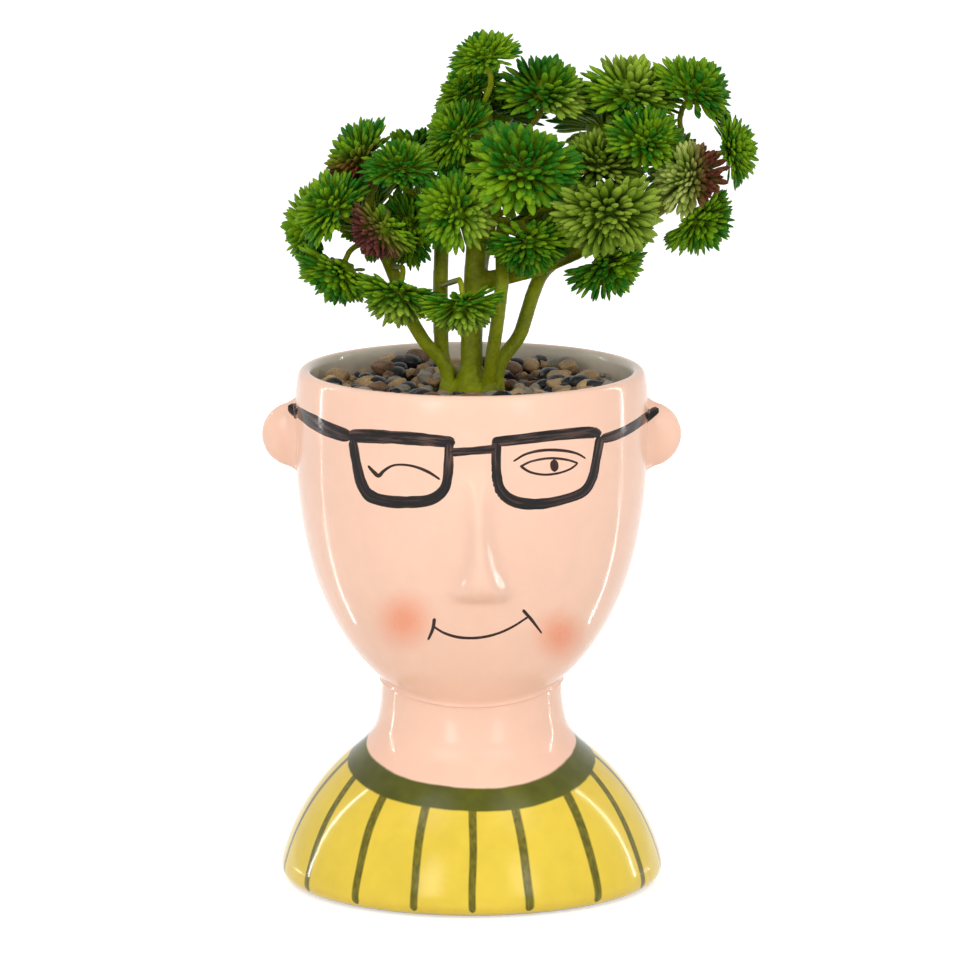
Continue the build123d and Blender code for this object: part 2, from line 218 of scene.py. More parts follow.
class PotSettings(bpy.types.PropertyGroup):
    """Sizes and glaze colours of the ceramic pot."""

    head_radius: length_property("Head radius", "Widest radius of the head", 0.053)
    bust_radius: length_property("Bust radius", "Radius of the bust at the foot", 0.0578)
    neck_radius: length_property("Neck radius", "Radius of the neck", 0.027)
    wall: length_property("Wall", "Thickness of the wall", 0.0045)
    nose_rise: length_property("Nose rise", "How far the nose stands out", 0.0075)
    ear_radius: length_property("Ear radius", "Radius of the ears", 0.0098)
    skin: tint_property("Skin glaze", "Glaze of head and neck", (0.93, 0.60, 0.45))
    blush: tint_property("Blush", "Sprayed colour of the cheeks", (0.88, 0.31, 0.17))
    shirt: tint_property("Shirt", "Glaze of the shirt", (0.78, 0.57, 0.055))
    stripe: tint_property("Stripe", "Painted stripes", (0.085, 0.083, 0.004))
    collar: tint_property("Collar", "Painted collar band", (0.09, 0.095, 0.004))
    line: tint_property("Brush lines", "Painted lines", (0.011, 0.008, 0.008))
    fine_line: tint_property("Fine lines", "Painted eyes and mouth", (0.028, 0.011, 0.008))
    inside: tint_property("Inside glaze", "Glaze of the inside", (0.78, 0.69, 0.57))


class GravelSettings(bpy.types.PropertyGroup):
    """Colours and counts of the stones."""

    tan: tint_property("Tan stones", "Colour", (0.46, 0.30, 0.15))
    brown: tint_property("Brown stones", "Colour", (0.20, 0.11, 0.06))
    black: tint_property("Black stones", "Colour", (0.022, 0.021, 0.022))
    grey: tint_property("Grey stones", "Colour", (0.26, 0.23, 0.18))
    loose: IntProperty(name="Loose stones", description="Stones lying on the others", default=112)
    grains: IntProperty(name="Grains", description="Small stones between the pebbles", default=420)


class PlantSettings(bpy.types.PropertyGroup):
    """Colours and counts of the plant."""

    stem: tint_property("Stem", "Colour of the stems", (0.25, 0.29, 0.004))
    leaf_root: tint_property("Leaf root", "Inner end of a leaflet", (0.23, 0.4, 0.008))
    leaf_tip: tint_property("Leaf tip", "Outer end of a leaflet", (0.018, 0.14, 0.006))
    leaflets: IntProperty(name="Leaflets", description="Leaflets in one head", default=220)


class StudioSettings(bpy.types.PropertyGroup):
    """Floor and lamps."""

    floor: tint_property("Floor", "Colour of the floor", (0.86, 0.86, 0.86))
    lamp_power: FloatProperty(
        name="Lamp power", description="Power of a full soft lamp", default=9.0, unit="POWER"
    )


class NodeKit:
    """Adds nodes to one tree and links sockets, or sets plain values, on their inputs."""

    def __init__(self, tree):
        self.tree = tree

    def add(self, kind, inputs=None, **settings):
        """A node of that kind with its settings, its inputs given by name or number."""
        node = self.tree.nodes.new(kind)
        for name, value in settings.items():
            setattr(node, name, value)
        for key, value in (inputs or {}).items():
            self.feed(node.inputs[key], value)
        return node

    def feed(self, socket, value):
        if isinstance(value, bpy.types.NodeSocket):
            self.tree.links.new(value, socket)
        else:
            socket.default_value = value

    def math(self, operation, *values, clamp=False):
        node = self.add("ShaderNodeMath", operation=operation, use_clamp=clamp)
        for socket, value in zip(node.inputs, values):
            self.feed(socket, value)
        return node.outputs[0]

    def vector(self, operation, *values):
        node = self.add("ShaderNodeVectorMath", operation=operation)
        for socket, value in zip(node.inputs, values):
            self.feed(socket, value)
        return node.outputs[0]

    def ramp(self, value, low, high, start=0.0, end=1.0):
        node = self.add("ShaderNodeMapRange", interpolation_type="SMOOTHSTEP")
        for key, entry in zip(range(5), (value, low, high, start, end)):
            self.feed(node.inputs[key], entry)
        return node.outputs[0]

    def mix(self, factor, first, second, blend="MIX"):
        node = self.add("ShaderNodeMix", data_type="RGBA", blend_type=blend)
        self.feed(node.inputs[0], factor)
        for socket, value in ((node.inputs[6], first), (node.inputs[7], second)):
            self.feed(socket, value if isinstance(value, bpy.types.NodeSocket) else (*value, 1.0))
        return node.outputs[2]

    def noise(self, coordinates, scale, detail=3.0, roughness=0.5):
        return self.add(
            "ShaderNodeTexNoise",
            {"Vector": coordinates, "Scale": scale, "Detail": detail, "Roughness": roughness},
        )


def new_group(name, inputs, outputs):
    """A shader node group with named sockets; returns its kit, its inputs and its output node."""
    group = bpy.data.node_groups.new(name, "ShaderNodeTree")
    for label, kind, default in inputs:
        socket = group.interface.new_socket(name=label, in_out="INPUT", socket_type=kind)
        socket.default_value = default
    for label, kind in outputs:
        group.interface.new_socket(name=label, in_out="OUTPUT", socket_type=kind)
    kit = NodeKit(group)
    entry = kit.add("NodeGroupInput")
    leave = kit.add("NodeGroupOutput")
    return kit, entry.outputs, leave


def mottle_group():
    """Two scales of noise over the surface: a colour factor and a height for bumps."""
    group = bpy.data.node_groups.get("mottle")
    if group:
        return group
    kit, given, leave = new_group(
        "mottle",
        (
            ("Coarse", "NodeSocketFloat", 60.0),
            ("Fine", "NodeSocketFloat", 600.0),
            ("Contrast", "NodeSocketFloat", 0.5),
        ),
        (("Factor", "NodeSocketFloat"), ("Height", "NodeSocketFloat")),
    )
    place = kit.add("ShaderNodeTexCoord").outputs["Object"]
    coarse = kit.noise(place, given["Coarse"], 4.0, 0.6).outputs["Fac"]
    fine = kit.noise(place, given["Fine"], 3.0, 0.55).outputs["Fac"]
    low = kit.math("SUBTRACT", 0.5, kit.math("MULTIPLY", given["Contrast"], 0.5))
    high = kit.math("ADD", 0.5, kit.math("MULTIPLY", given["Contrast"], 0.5))
    blend = kit.math("MULTIPLY_ADD", fine, 0.35, kit.math("MULTIPLY", coarse, 0.65))
    kit.feed(leave.inputs["Factor"], kit.ramp(blend, 0.32, 0.68, low, high))
    kit.feed(leave.inputs["Height"], kit.math("MULTIPLY_ADD", fine, 0.6, coarse))
    return kit.tree


def new_material(name):
    """An empty node material; returns it, its kit and its Principled shader."""
    material = bpy.data.materials.new(name)
    material.use_nodes = True
    tree = material.node_tree
    return material, NodeKit(tree), tree.nodes["Principled BSDF"]


def bump(kit, shader, height, distance, strength=1.0):
    """Feeds a height, in metres at the given distance, to the shader's normal."""
    node = kit.add("ShaderNodeBump", {"Height": height, "Distance": distance, "Strength": strength})
    kit.feed(shader.inputs["Normal"], node.outputs["Normal"])


def mottle(kit, coarse, fine, contrast=1.0):
    """Adds the mottle group to a material; returns its factor and its height."""
    scales = {"Coarse": coarse, "Fine": fine, "Contrast": contrast}
    node = kit.add("ShaderNodeGroup", scales, node_tree=mottle_group())
    return node.outputs["Factor"], node.outputs["Height"]


def seen_white(kit):
    """One for rays that show their target plainly: from the camera, through glass or off a gloss."""
    path = kit.add("ShaderNodeLightPath").outputs
    seen = kit.math("MAXIMUM", path["Is Camera Ray"], path["Is Transmission Ray"])
    return kit.math("MAXIMUM", seen, path["Is Glossy Ray"])


def mottled_material(name, dark, light, roughness, coarse, fine, depth):
    """A solid stuff with two tones, an uneven gloss and a grain."""
    material, kit, shader = new_material(name)
    factor, height = mottle(kit, coarse, fine, 0.9)
    kit.feed(shader.inputs["Base Color"], kit.mix(factor, dark, light))
    kit.feed(shader.inputs["Roughness"], kit.ramp(factor, 0.0, 1.0, roughness[0], roughness[1]))
    shader.inputs["Specular IOR Level"].default_value = 0.15
    bump(kit, shader, height, depth)
    return material


def shade(colour, share):
    """A colour made darker or lighter."""
    return tuple(min(1.0, channel * share) for channel in colour)


def glaze_material(pot):
    """Hand-painted glaze: skin, cheeks, collar, striped shirt and bare foot."""
    material, kit, shader = new_material("painted_glaze")
    place = kit.add("ShaderNodeTexCoord").outputs["Object"]
    hand = kit.noise(place, 140.0, 2.0).outputs["Color"]
    hand = kit.vector("MULTIPLY", kit.vector("SUBTRACT", hand, (0.5, 0.5, 0.5)), (1.1, 1.1, 1.1))
    place_mm = kit.vector("MULTIPLY", place, (1000.0, 1000.0, 1000.0))
    axes = kit.add("ShaderNodeSeparateXYZ", {0: place_mm}).outputs
    across, depth, level = axes["X"], axes["Y"], axes["Z"]
    # The painter's view: the face laid flat as seen from a little above
    flat_x = kit.math("DIVIDE", across, kit.math("MULTIPLY_ADD", depth, 1 / 2314, 1.0))
    tilt = kit.math("MULTIPLY", kit.math("SUBTRACT", 538.0, level), 1 / 2310)
    squashed = kit.math("MULTIPLY", level, VIEW_SQUASH)
    flat_z = kit.math("ADD", squashed, kit.math("MULTIPLY", depth, tilt))
    flat = kit.add("ShaderNodeCombineXYZ", {0: flat_x, 1: flat_z}).outputs[0]
    drawn = kit.vector("ADD", flat, kit.vector("MULTIPLY", hand, (1, 1, 0)))
    front = kit.ramp(depth, 10.0, 6.0)

    tone, height = mottle(kit, 18.0, 160.0)
    colour = kit.mix(tone, shade(pot.skin, 0.97), shade(pot.skin, 1.03))
    for cheek_x, cheek_z, reach in CHEEKS:
        gap = kit.add(
            "ShaderNodeVectorMath", {0: drawn, 1: (cheek_x, cheek_z, 0)}, operation="DISTANCE"
        ).outputs["Value"]
        speckle = kit.noise(place, 1500.0, 2.0).outputs["Fac"]
        near = kit.math("MULTIPLY", kit.ramp(gap, reach, 0.5), kit.ramp(speckle, 0.1, 0.75, 0.68, 0.9))
        colour = kit.mix(kit.math("MULTIPLY", near, front), colour, tuple(pot.blush))
    # Shirt, with its stripes and a collar band
    turn = kit.math("ARCTAN2", across, kit.math("MULTIPLY", depth, -1.0))
    square = kit.math("MULTIPLY_ADD", across, across, kit.math("MULTIPLY", depth, depth))
    reach = kit.math("SQRT", square)
    sway = kit.noise(place, 30.0, 1.0).outputs["Fac"]
    share = kit.math("MULTIPLY_ADD", turn, 0.5 / math.pi, 0.5)
    pace = kit.add("ShaderNodeFloatCurve", {"Value": share})
    count = len(STRIPES) - 1
    curve = pace.mapping.curves[0]
    for number, angle in enumerate(STRIPES[1:-1], 1):
        curve.points.new(angle / 360 + 0.5, number / count)
    for entry in curve.points:
        entry.handle_type = "VECTOR"
    pace.mapping.update()
    step = kit.math("MULTIPLY_ADD", pace.outputs[0], count, kit.math("MULTIPLY_ADD", sway, 0.14, 0.43))
    away = kit.math("SUBTRACT", kit.math("FRACT", step), 0.5)
    away = kit.math("MULTIPLY", kit.math("ABSOLUTE", away), kit.math("MULTIPLY", reach, 2 * math.pi / count))
    bristle = kit.noise(kit.vector("MULTIPLY", place, (1, 1, 0.25)), 900.0, 2.0).outputs["Fac"]
    width = kit.math("MULTIPLY_ADD", level, 0.006, 1.15)
    width = kit.math("MULTIPLY", width, kit.math("POWER", kit.ramp(level, 1.9, 3.4), 0.45))
    stripe = kit.ramp(kit.math("SUBTRACT", away, width), 0.4, -0.25)
    stripe = kit.math("MULTIPLY", stripe, kit.ramp(level, 1.8, 2.3))
    stripe = kit.math("MULTIPLY", stripe, kit.ramp(bristle, 0.3, 0.7, 0.84, 0.97))
    shirt = kit.mix(tone, shade(pot.shirt, 0.93), shade(pot.shirt, 1.06))
    shirt = kit.mix(stripe, shirt, tuple(pot.stripe))
    edge = kit.add("ShaderNodeSeparateXYZ", {0: hand}).outputs["Z"]
    edge = kit.math("MULTIPLY_ADD", edge, 0.35, kit.math("MULTIPLY_ADD", sway, 1.6, -0.8))
    slant = kit.math("MINIMUM", depth, 6.0)
    top = kit.math("MULTIPLY_ADD", slant, 0.21, 44.5)
    top = kit.math("SUBTRACT", kit.math("ADD", level, edge), top)
    low = kit.math("MULTIPLY_ADD", slant, 0.2, 39.4)
    low = kit.math("SUBTRACT", kit.math("ADD", level, edge), low)
    band = kit.mix(tone, shade(pot.collar, 0.72), shade(pot.collar, 1.3))
    shirt = kit.mix(kit.ramp(low, -0.25, 0.25), shirt, band)
    colour = kit.mix(kit.ramp(top, 0.25, -0.25), colour, shirt)
    # Inside glaze and the bare foot
    within = kit.math("MULTIPLY", kit.ramp(reach, 49.9, 48.3), kit.ramp(level, 128.0, 132.0))
    colour = kit.mix(within, colour, kit.mix(tone, shade(pot.inside, 0.9), shade(pot.inside, 1.06)))
    colour = kit.mix(kit.ramp(level, 1.5, 0.7), colour, (0.42, 0.29, 0.15))
    foot = kit.ramp(level, 0.5, 0.15)
    colour = kit.mix(foot, colour, (0.72, 0.66, 0.58))
    kit.feed(shader.inputs["Base Color"], colour)
    gloss = kit.ramp(tone, 0.0, 1.0, 0.10, 0.16)
    kit.feed(shader.inputs["Roughness"], kit.math("MULTIPLY_ADD", foot, 0.5, gloss))
    shader.inputs["Specular IOR Level"].default_value = 0.16
    shader.inputs["Coat Weight"].default_value = 0.12
    shader.inputs["Coat Roughness"].default_value = 0.04
    bump(kit, shader, height, 0.00004)
    return material


def brush_material(name, thick, thin):
    """Dark glaze brushed on: streaks of the bristles run along each line."""
    material, kit, shader = new_material(name)
    stroke = kit.add("ShaderNodeUVMap", uv_map="stroke").outputs[0]
    streak = kit.noise(kit.vector("MULTIPLY", stroke, (0.09, 5.0, 1)), 1.0, 3.0, 0.55).outputs["Fac"]
    place = kit.add("ShaderNodeTexCoord").outputs["Object"]
    level = kit.add("ShaderNodeSeparateXYZ", {0: place}).outputs["Z"]
    worn = kit.math("MULTIPLY", kit.ramp(streak, 0.45, 0.7), kit.ramp(level, 0.134, 0.138, 0.45, 1.0))
    kit.feed(shader.inputs["Base Color"], kit.mix(worn, thick, thin))
    kit.feed(shader.inputs["Roughness"], kit.ramp(streak, 0.3, 0.7, 0.1, 0.22))
    shader.inputs["Specular IOR Level"].default_value = 0.2
    bump(kit, shader, streak, 0.00003)
    return material


def leaf_material(name, root, tip, tint=None):
    """Moulded leaf plastic: light roots, deeper tips, a tone for each leaflet, a tint on one side; painted shade
    darkens each leaflet towards its root.
    """
    material, kit, shader = new_material(name)
    leaf = kit.add("ShaderNodeUVMap", uv_map="leaf").outputs[0]
    parts = kit.add("ShaderNodeSeparateXYZ", {0: leaf}).outputs
    lot, along = parts["X"], parts["Y"]
    patch, height = mottle(kit, 48.0, 190.0)
    start = kit.math("MULTIPLY_ADD", lot, 0.3, 0.3)
    toward = kit.ramp(along, start, kit.math("ADD", start, 0.5))
    light = kit.mix(toward, root, tuple(0.7 * a + 0.3 * b for a, b in zip(root, tip)))
    deep = kit.mix(toward, shade(root, 0.6), tip)
    pick = kit.ramp(kit.math("MULTIPLY_ADD", lot, 0.4, patch), 0.4, 1.0)
    colour = kit.mix(pick, deep, light)
    if tint:
        low, slope, hue = tint
        spot = kit.add("ShaderNodeTexCoord").outputs["Object"]
        share = kit.add(
            "ShaderNodeVectorMath",
            {0: kit.vector("SUBTRACT", spot, low), 1: slope},
            operation="DOT_PRODUCT",
        ).outputs["Value"]
        tinted = kit.math("MULTIPLY", kit.ramp(share, 0.0, 1.0), kit.ramp(along, 0.3, 0.8, 0.3, 1.0))
        colour = kit.mix(tinted, colour, kit.mix(lot, shade(hue, 0.6), shade(hue, 1.3)))
    # Painted shade: the inner part of each leaflet, crowded round the hub, is darkened to 0.8 of its colour
    depth = kit.ramp(along, 0.1, 0.6, 0.8, 1.0)
    painted_hub_shade = kit.add("ShaderNodeCombineColor", {0: depth, 1: depth, 2: depth}).outputs[0]
    colour = kit.mix(1.0, colour, painted_hub_shade, "MULTIPLY")
    kit.feed(shader.inputs["Base Color"], colour)
    kit.feed(shader.inputs["Roughness"], kit.ramp(patch, 0.0, 1.0, 0.38, 0.55))
    shader.inputs["Specular IOR Level"].default_value = 0.07
    bump(kit, shader, height, 0.00008)
    return material


def clear_selection():
    """Leaves edit mode and deselects everything."""
    if bpy.context.mode != "OBJECT":
        bpy.ops.object.mode_set(mode="OBJECT")
    bpy.ops.object.select_all(action="DESELECT")


def make_active(obj):
    """Selects one object alone."""
    clear_selection()
    obj.select_set(True)
    bpy.context.view_layer.objects.active = obj


def edit_all(obj, operator, **settings):
    """Runs one mesh operator on the whole of an object."""
    make_active(obj)
    bpy.ops.object.mode_set(mode="EDIT")
    bpy.ops.mesh.select_all(action="SELECT")
    operator(**settings)
    bpy.ops.object.mode_set(mode="OBJECT")


def join_all(objects):
    """Joins objects into the first of them."""
    make_active(objects[0])
    for obj in objects:
        obj.select_set(True)
    bpy.ops.object.join()
    return bpy.context.object


def apply_modifier(obj, kind, **settings):
    """Adds one modifier and applies it."""
    make_active(obj)
    modifier = obj.modifiers.new(kind.title(), kind)
    for name, value in settings.items():
        setattr(modifier, name, value)
    bpy.ops.object.modifier_apply(modifier=modifier.name)


def finish_piece(obj, name, material, body, slot, *nodes):
    """Names a finished piece, gives it its material and hangs it on its body."""
    obj.name = name
    obj.data.name = name
    obj.data.materials.clear()
    obj.data.materials.append(material)
    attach(obj, body)
    if nodes:
        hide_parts(*nodes)


def finish_node(node, material):
    """Gives a frame node that stays as it is its material."""
    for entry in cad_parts[node].material_slots:
        entry.material = material


def merged_copy(node):
    """A copy of a frame node with its loose triangles joined up."""
    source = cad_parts[node]
    copy = bpy.data.objects.new(node + "_copy", source.data.copy())
    bpy.context.collection.objects.link(copy)
    edit_all(copy, bpy.ops.mesh.remove_doubles, threshold=0.000005)
    return copy


def arc_through(start, middle, end, count):
    """Points of the circular arc through three points of a profile."""
    (ax, ay), (bx, by), (cx, cy) = start, middle, end
    turn = 2 * (ax * (by - cy) + bx * (cy - ay) + cx * (ay - by))
    first, second, third = ax * ax + ay * ay, bx * bx + by * by, cx * cx + cy * cy
    ox = (first * (by - cy) + second * (cy - ay) + third * (ay - by)) / turn
    oy = (first * (cx - bx) + second * (ax - cx) + third * (bx - ax)) / turn
    radius = math.hypot(ax - ox, ay - oy)
    low = math.atan2(ay - oy, ax - ox)
    high = math.atan2(cy - oy, cx - ox)
    angles = [low + (high - low) * index / count for index in range(count + 1)]
    return [(ox + radius * math.cos(angle), oy + radius * math.sin(angle)) for angle in angles]


def head_width(pot, level):
    """Radius of the head at a level, in millimetres: a superellipse of revolution."""
    cheek, chin = 0.897 * POT_TOP, 0.346 * POT_TOP
    if level < cheek:
        share = (cheek - level) / (cheek - chin)
    else:
        share = (level - cheek) / (0.449 * POT_TOP)
    return pot.head_radius / MM * (1 - share**2.3) ** (1 / 2.3)


def smooth_value(table, level):
    """Value of a smooth curve through (level, value) pairs."""
    if level <= table[0][0]:
        return table[0][1]
    for index in range(len(table) - 1):
        (low, first), (high, second) = table[index], table[index + 1]
        if level <= high:
            before = table[max(index - 1, 0)]
            after = table[min(index + 2, len(table) - 1)]
            span = high - low
            share = (level - low) / span
            rise_in = (second - before[1]) / (high - before[0]) * span
            rise_out = (after[1] - first) / (after[0] - low) * span
            square, cube = share * share, share**3
            return (
                (2 * cube - 3 * square + 1) * first
                + (cube - 2 * square + share) * rise_in
                + (3 * square - 2 * cube) * second
                + (cube - square) * rise_out
            )
    return table[-1][1]


# Levels in millimetres at which the wall of the head is drawn, outside and inside
HEAD_LEVELS = (
    62.4, 64.6, 68.0, 73.0, 79.5, 87.0, 92.5, 95.0, 97.5, 101.0,
    106.0, 113.0, 121.0, 130.0, 138.5, 146.0, 151.0,
)
INNER_LEVELS = (140.0, 125.0, 105.0, 85.0, 72.0, 66.0)

# The jaw hangs lower in front: its drop and the levels where that starts, peaks and ends
JAW_DROP, JAW_START, JAW_PEAK, JAW_END = 3.4, 50, 61.5, 78

# The nose at its levels: rise as a share, half width, middle in millimetres, steepness of its sides
NOSE_RISE = (
    (93.4, 0.0), (94.8, 0.4), (97.0, 0.94), (100.0, 1.12), (104, 1.07),
    (111, 0.9), (120, 0.6), (128, 0.26), (135, 0.0),
)
NOSE_WIDTH = ((93.4, 6.6), (97.0, 7.2), (100.0, 6.4), (104, 5.0), (111, 3.7), (120, 3.4), (135, 4.2))
NOSE_MIDDLE = ((93.4, 3.0), (100.0, 2.9), (111, 2.4), (135, 1.6))
NOSE_SIDES = ((93.4, 3.4), (100.0, 3.2), (106, 2.2), (135, 2.0))


class PLANTER_OT_pot(bpy.types.Operator):
    """Spin the ceramic pot from its profile, with nose and ears, and glaze it"""

    bl_idname = "planter.pot"
    bl_label = "Ceramic pot"

    def execute(self, context):
        pot = context.scene.planter_pot
        bust, neck, wall = pot.bust_radius / MM, pot.neck_radius / MM, pot.wall / MM
        outside = [(0, 0), (26, 0), (44, 0), (51.5, 0.05), (54.6, 0.6), (56.8, 2.0)]
        outside += arc_through((bust, 4.5), (0.857 * bust, 24.5), (0.58 * bust, 41.5), 9)
        outside += [(31.5, 43.6), (29.8, 45.8), (28.7, 48.0), (27.8, 51.5), (27.2, 56.0), (neck, 61.0)]
        outside += [(neck + 0.25, 61.35), (28.2, 61.45)]
        outside += [(head_width(pot, level), level) for level in HEAD_LEVELS]
        rim = head_width(pot, POT_TOP)
        mouth = rim - wall
        lip = [(rim, 153.4), (rim - 0.3, 154.9), (rim - 1.3, 155.9), (rim - 2.2, 156.0)]
        lip += [(mouth + 1.2, 155.9), (mouth + 0.3, 154.9), (mouth, 153.2), (mouth - 0.1, 149.0)]
        inner = [(head_width(pot, level) - wall, level) for level in INNER_LEVELS]
        inner += [(neck - wall, 60.0), (neck - wall, 47.0), (bust * 0.857 - 6, 24.5), (bust - 6, 8.0)]
        inner += [(40, 5.4), (0, 5.4)]
        profile = outside + lip + inner

        clear_selection()
        bpy.ops.mesh.primitive_circle_add(vertices=len(profile), radius=0.05, fill_type="NOTHING")
        shell = context.object
        for vertex, (reach, level) in zip(shell.data.vertices, profile):
            vertex.co = (reach * MM, 0, level * MM)
        bpy.ops.object.mode_set(mode="EDIT")
        mesh = bmesh.from_edit_mesh(shell.data)
        mesh.verts.ensure_lookup_table()
        mesh.edges.remove(mesh.edges.get((mesh.verts[0], mesh.verts[-1])))
        bmesh.update_edit_mesh(shell.data)
        bpy.ops.mesh.select_all(action="SELECT")
        bpy.ops.mesh.spin(steps=96, angle=2 * math.pi, center=(0, 0, 0), axis=(0, 0, 1))
        bpy.ops.mesh.select_all(action="SELECT")
        bpy.ops.mesh.remove_doubles(threshold=0.00001)
        bpy.ops.mesh.normals_make_consistent(inside=False)
        bpy.ops.object.mode_set(mode="OBJECT")
        apply_modifier(shell, "SUBSURF", levels=2, render_levels=2)
        for vertex in shell.data.vertices:
            x, y, z = (value / MM for value in vertex.co)
            reach = math.hypot(x, y)
            if reach > bust:
                vertex.co.xy *= bust / reach
            if reach > 25.5 and y < 0 and JAW_START < z < JAW_END:
                end = JAW_START if z < JAW_PEAK else JAW_END
                share = (z - end) / (JAW_PEAK - end)
                vertex.co.z -= JAW_DROP * MM * (y / reach) ** 2 * share * share * (3 - 2 * share)
            if y > -20 or not 90 < z < 136 or reach < head_width(pot, z) - 2.0:
                continue
            share = (x - smooth_value(NOSE_MIDDLE, z)) / smooth_value(NOSE_WIDTH, z)
            bell = math.exp(-abs(share) ** smooth_value(NOSE_SIDES, z))
            vertex.co.y -= pot.nose_rise * max(smooth_value(NOSE_RISE, z), 0) * bell
        join_all([shell] + [self.ear(context, pot, side) for side in (-1, 1)])
        bpy.ops.object.shade_smooth()
        finish_piece(shell, "pot_glazed", glaze_material(pot), "pot", "glaze", "ceramic_pot")
        return {"FINISHED"}

    def ear(self, context, pot, side):
        """A flat rounded ear that runs into the wall of the head with a small fillet."""
        radius = pot.ear_radius / MM
        level = 0.872 * POT_TOP
        clear_selection()
        bpy.ops.mesh.primitive_uv_sphere_add(segments=64, ring_count=40, radius=1.0)
        ear = context.object
        for vertex in ear.data.vertices:
            x, y, z = vertex.co
            x, y, z = x * radius, y * 4.5, z * radius
            reach = head_width(pot, level + z) - pot.head_radius / MM
            out = x - reach
            if out < 3.0:
                grow = 0.14 * (3.0 - max(out, -2.5)) ** 2
                size = max(math.hypot(y, z), 0.001)
                y += grow * y / size
                z += grow * z / size
            x = max(x, reach - 2.4)
            vertex.co = ((pot.head_radius / MM + x) * side * MM, y * MM, (level + z) * MM)
        if side < 0:
            edit_all(ear, bpy.ops.mesh.normals_make_consistent, inside=False)
        return ear


def smooth_stroke(points, spacing):
    """Points (across, up, half width) of a smooth curve through the given ones."""
    ends = [tuple(2 * a - b for a, b in zip(points[0], points[1]))]
    ends.append(tuple(2 * a - b for a, b in zip(points[-1], points[-2])))
    guide = [Vector(point) for point in (ends[0], *points, ends[1])]
    curve = []
    for before, start, end, after in zip(guide, guide[1:], guide[2:], guide[3:]):
        steps = max(2, round((end - start).length / spacing))
        for index in range(steps):
            share = index / steps
            curve.append(
                0.5 * (
                    2 * start + (end - before) * share
                    + (2 * before - 5 * start + 4 * end - after) * share**2
                    + (3 * start - before - 3 * end + after) * share**3
                )
            )
    return curve + [guide[-2]]


class PLANTER_OT_lines(bpy.types.Operator):
    """Brush the dark lines of the face on the glazed pot"""

    bl_idname = "planter.lines"
    bl_label = "Brush lines"

    def execute(self, context):
        pot = context.scene.planter_pot
        shell = bpy.data.objects["pot_glazed"].data
        skin = BVHTree.FromPolygons(
            [vertex.co for vertex in shell.vertices], [tuple(face.vertices) for face in shell.polygons]
        )
        chance = random.Random(5)
        line, fine = tuple(pot.line), tuple(pot.fine_line)
        for name, strokes, weight, thick, thin in (
            ("spectacle_lines", SPECTACLES, 1.12, line, (0.11, 0.06, 0.046)),
            ("face_lines", FINE_LINES, 1.35, fine, shade(fine, 3.2)),
        ):
            ribbons = [self.ribbon(context, skin, stroke, weight, chance) for stroke in strokes]
            drawn = join_all(ribbons)
            bpy.ops.object.shade_smooth()
            finish_piece(drawn, name, brush_material(name, thick, thin), "pot", "glaze")
        return {"FINISHED"}

    def ribbon(self, context, skin, stroke, weight, chance):
        """One stroke laid on the surface: a strip, a little thicker in the middle, with round ends."""
        curve = smooth_stroke(stroke, 0.45)
        count = len(curve) - 1
        walk = [0.0]
        for start, end in zip(curve, curve[1:]):
            walk.append(walk[-1] + math.hypot(end.x - start.x, end.y - start.y))
        clear_selection()
        bpy.ops.mesh.primitive_grid_add(x_subdivisions=count, y_subdivisions=6, size=2.0)
        strip = context.object
        strip.data.uv_layers[0].name = "stroke"
        wobble = [chance.uniform(0.94, 1.06) for index in range(count + 2)]
        start_at = chance.uniform(0, 500)
        for entry in strip.data.uv_layers[0].data:
            entry.uv = (start_at + entry.uv.x * walk[-1], entry.uv.y)
        eye = Vector(CAMERA_AT)
        for vertex in strip.data.vertices:
            index = round((vertex.co.x + 1) / 2 * count)
            side = vertex.co.y
            x, z, half = curve[index]
            half *= weight
            ahead, behind = curve[min(index + 1, count)], curve[max(index - 1, 0)]
            along = Vector((ahead.x - behind.x, ahead.y - behind.y)).normalized()
            knot, past = divmod(index, 5)
            half *= (wobble[knot] * (5 - past) + wobble[knot + 1] * past) / 5
            near = min(walk[index], walk[-1] - walk[index])
            if near < half:
                half *= math.sqrt(max(1 - (1 - near / half) ** 2, 0.002))
            x, z = x - along.y * side * half, z + along.x * side * half
            target = Vector((x * MM, 0, z / VIEW_SQUASH * MM))
            spot, normal, _, _ = skin.ray_cast(eye, (target - eye).normalized())
            lift = 0.07 - 0.1 * side * side
            vertex.co = spot + normal * lift * MM
        edit_all(strip, bpy.ops.mesh.flip_normals)
        return strip


def stone_masters(count, fineness):
    """Lumps of gravel with a half width of one: every second one worn, the others broken."""
    masters = []
    for number in range(count):
        chance = random.Random(40 + number)
        worn = number % 2 == 0
        clear_selection()
        bpy.ops.mesh.primitive_ico_sphere_add(subdivisions=fineness, radius=1.0)
        stone = bpy.context.object
        planes = []
        for index in range(3 if worn else 9):
            normal = Vector((chance.uniform(-1, 1), chance.uniform(-1, 1), chance.uniform(-0.9, 0.9)))
            reach = chance.uniform(0.7, 0.9) if worn else chance.uniform(0.5, 0.8)
            planes.append((normal.normalized(), reach))
        for vertex in stone.data.vertices:
            point = vertex.co.copy()
            for normal, reach in planes:
                over = point.dot(normal) - reach
                if over > 0:
                    point -= normal * over * (0.8 if worn else 0.94)
            vertex.co = point
        if fineness > 1:
            texture = bpy.data.textures.new("stone_lumps", "CLOUDS")
            texture.noise_scale = 0.9 if worn else 0.5
            strength = 0.16 if worn else 0.3
            apply_modifier(stone, "DISPLACE", texture=texture, strength=strength, texture_coords="LOCAL")
            apply_modifier(stone, "SMOOTH", factor=0.5, iterations=3 if worn else 1)
        make_active(stone)
        bpy.ops.object.shade_smooth()
        masters.append(stone)
    return masters


def remove_objects(objects):
    """Takes helper objects out of the file."""
    for obj in objects:
        bpy.data.objects.remove(obj, do_unlink=True)


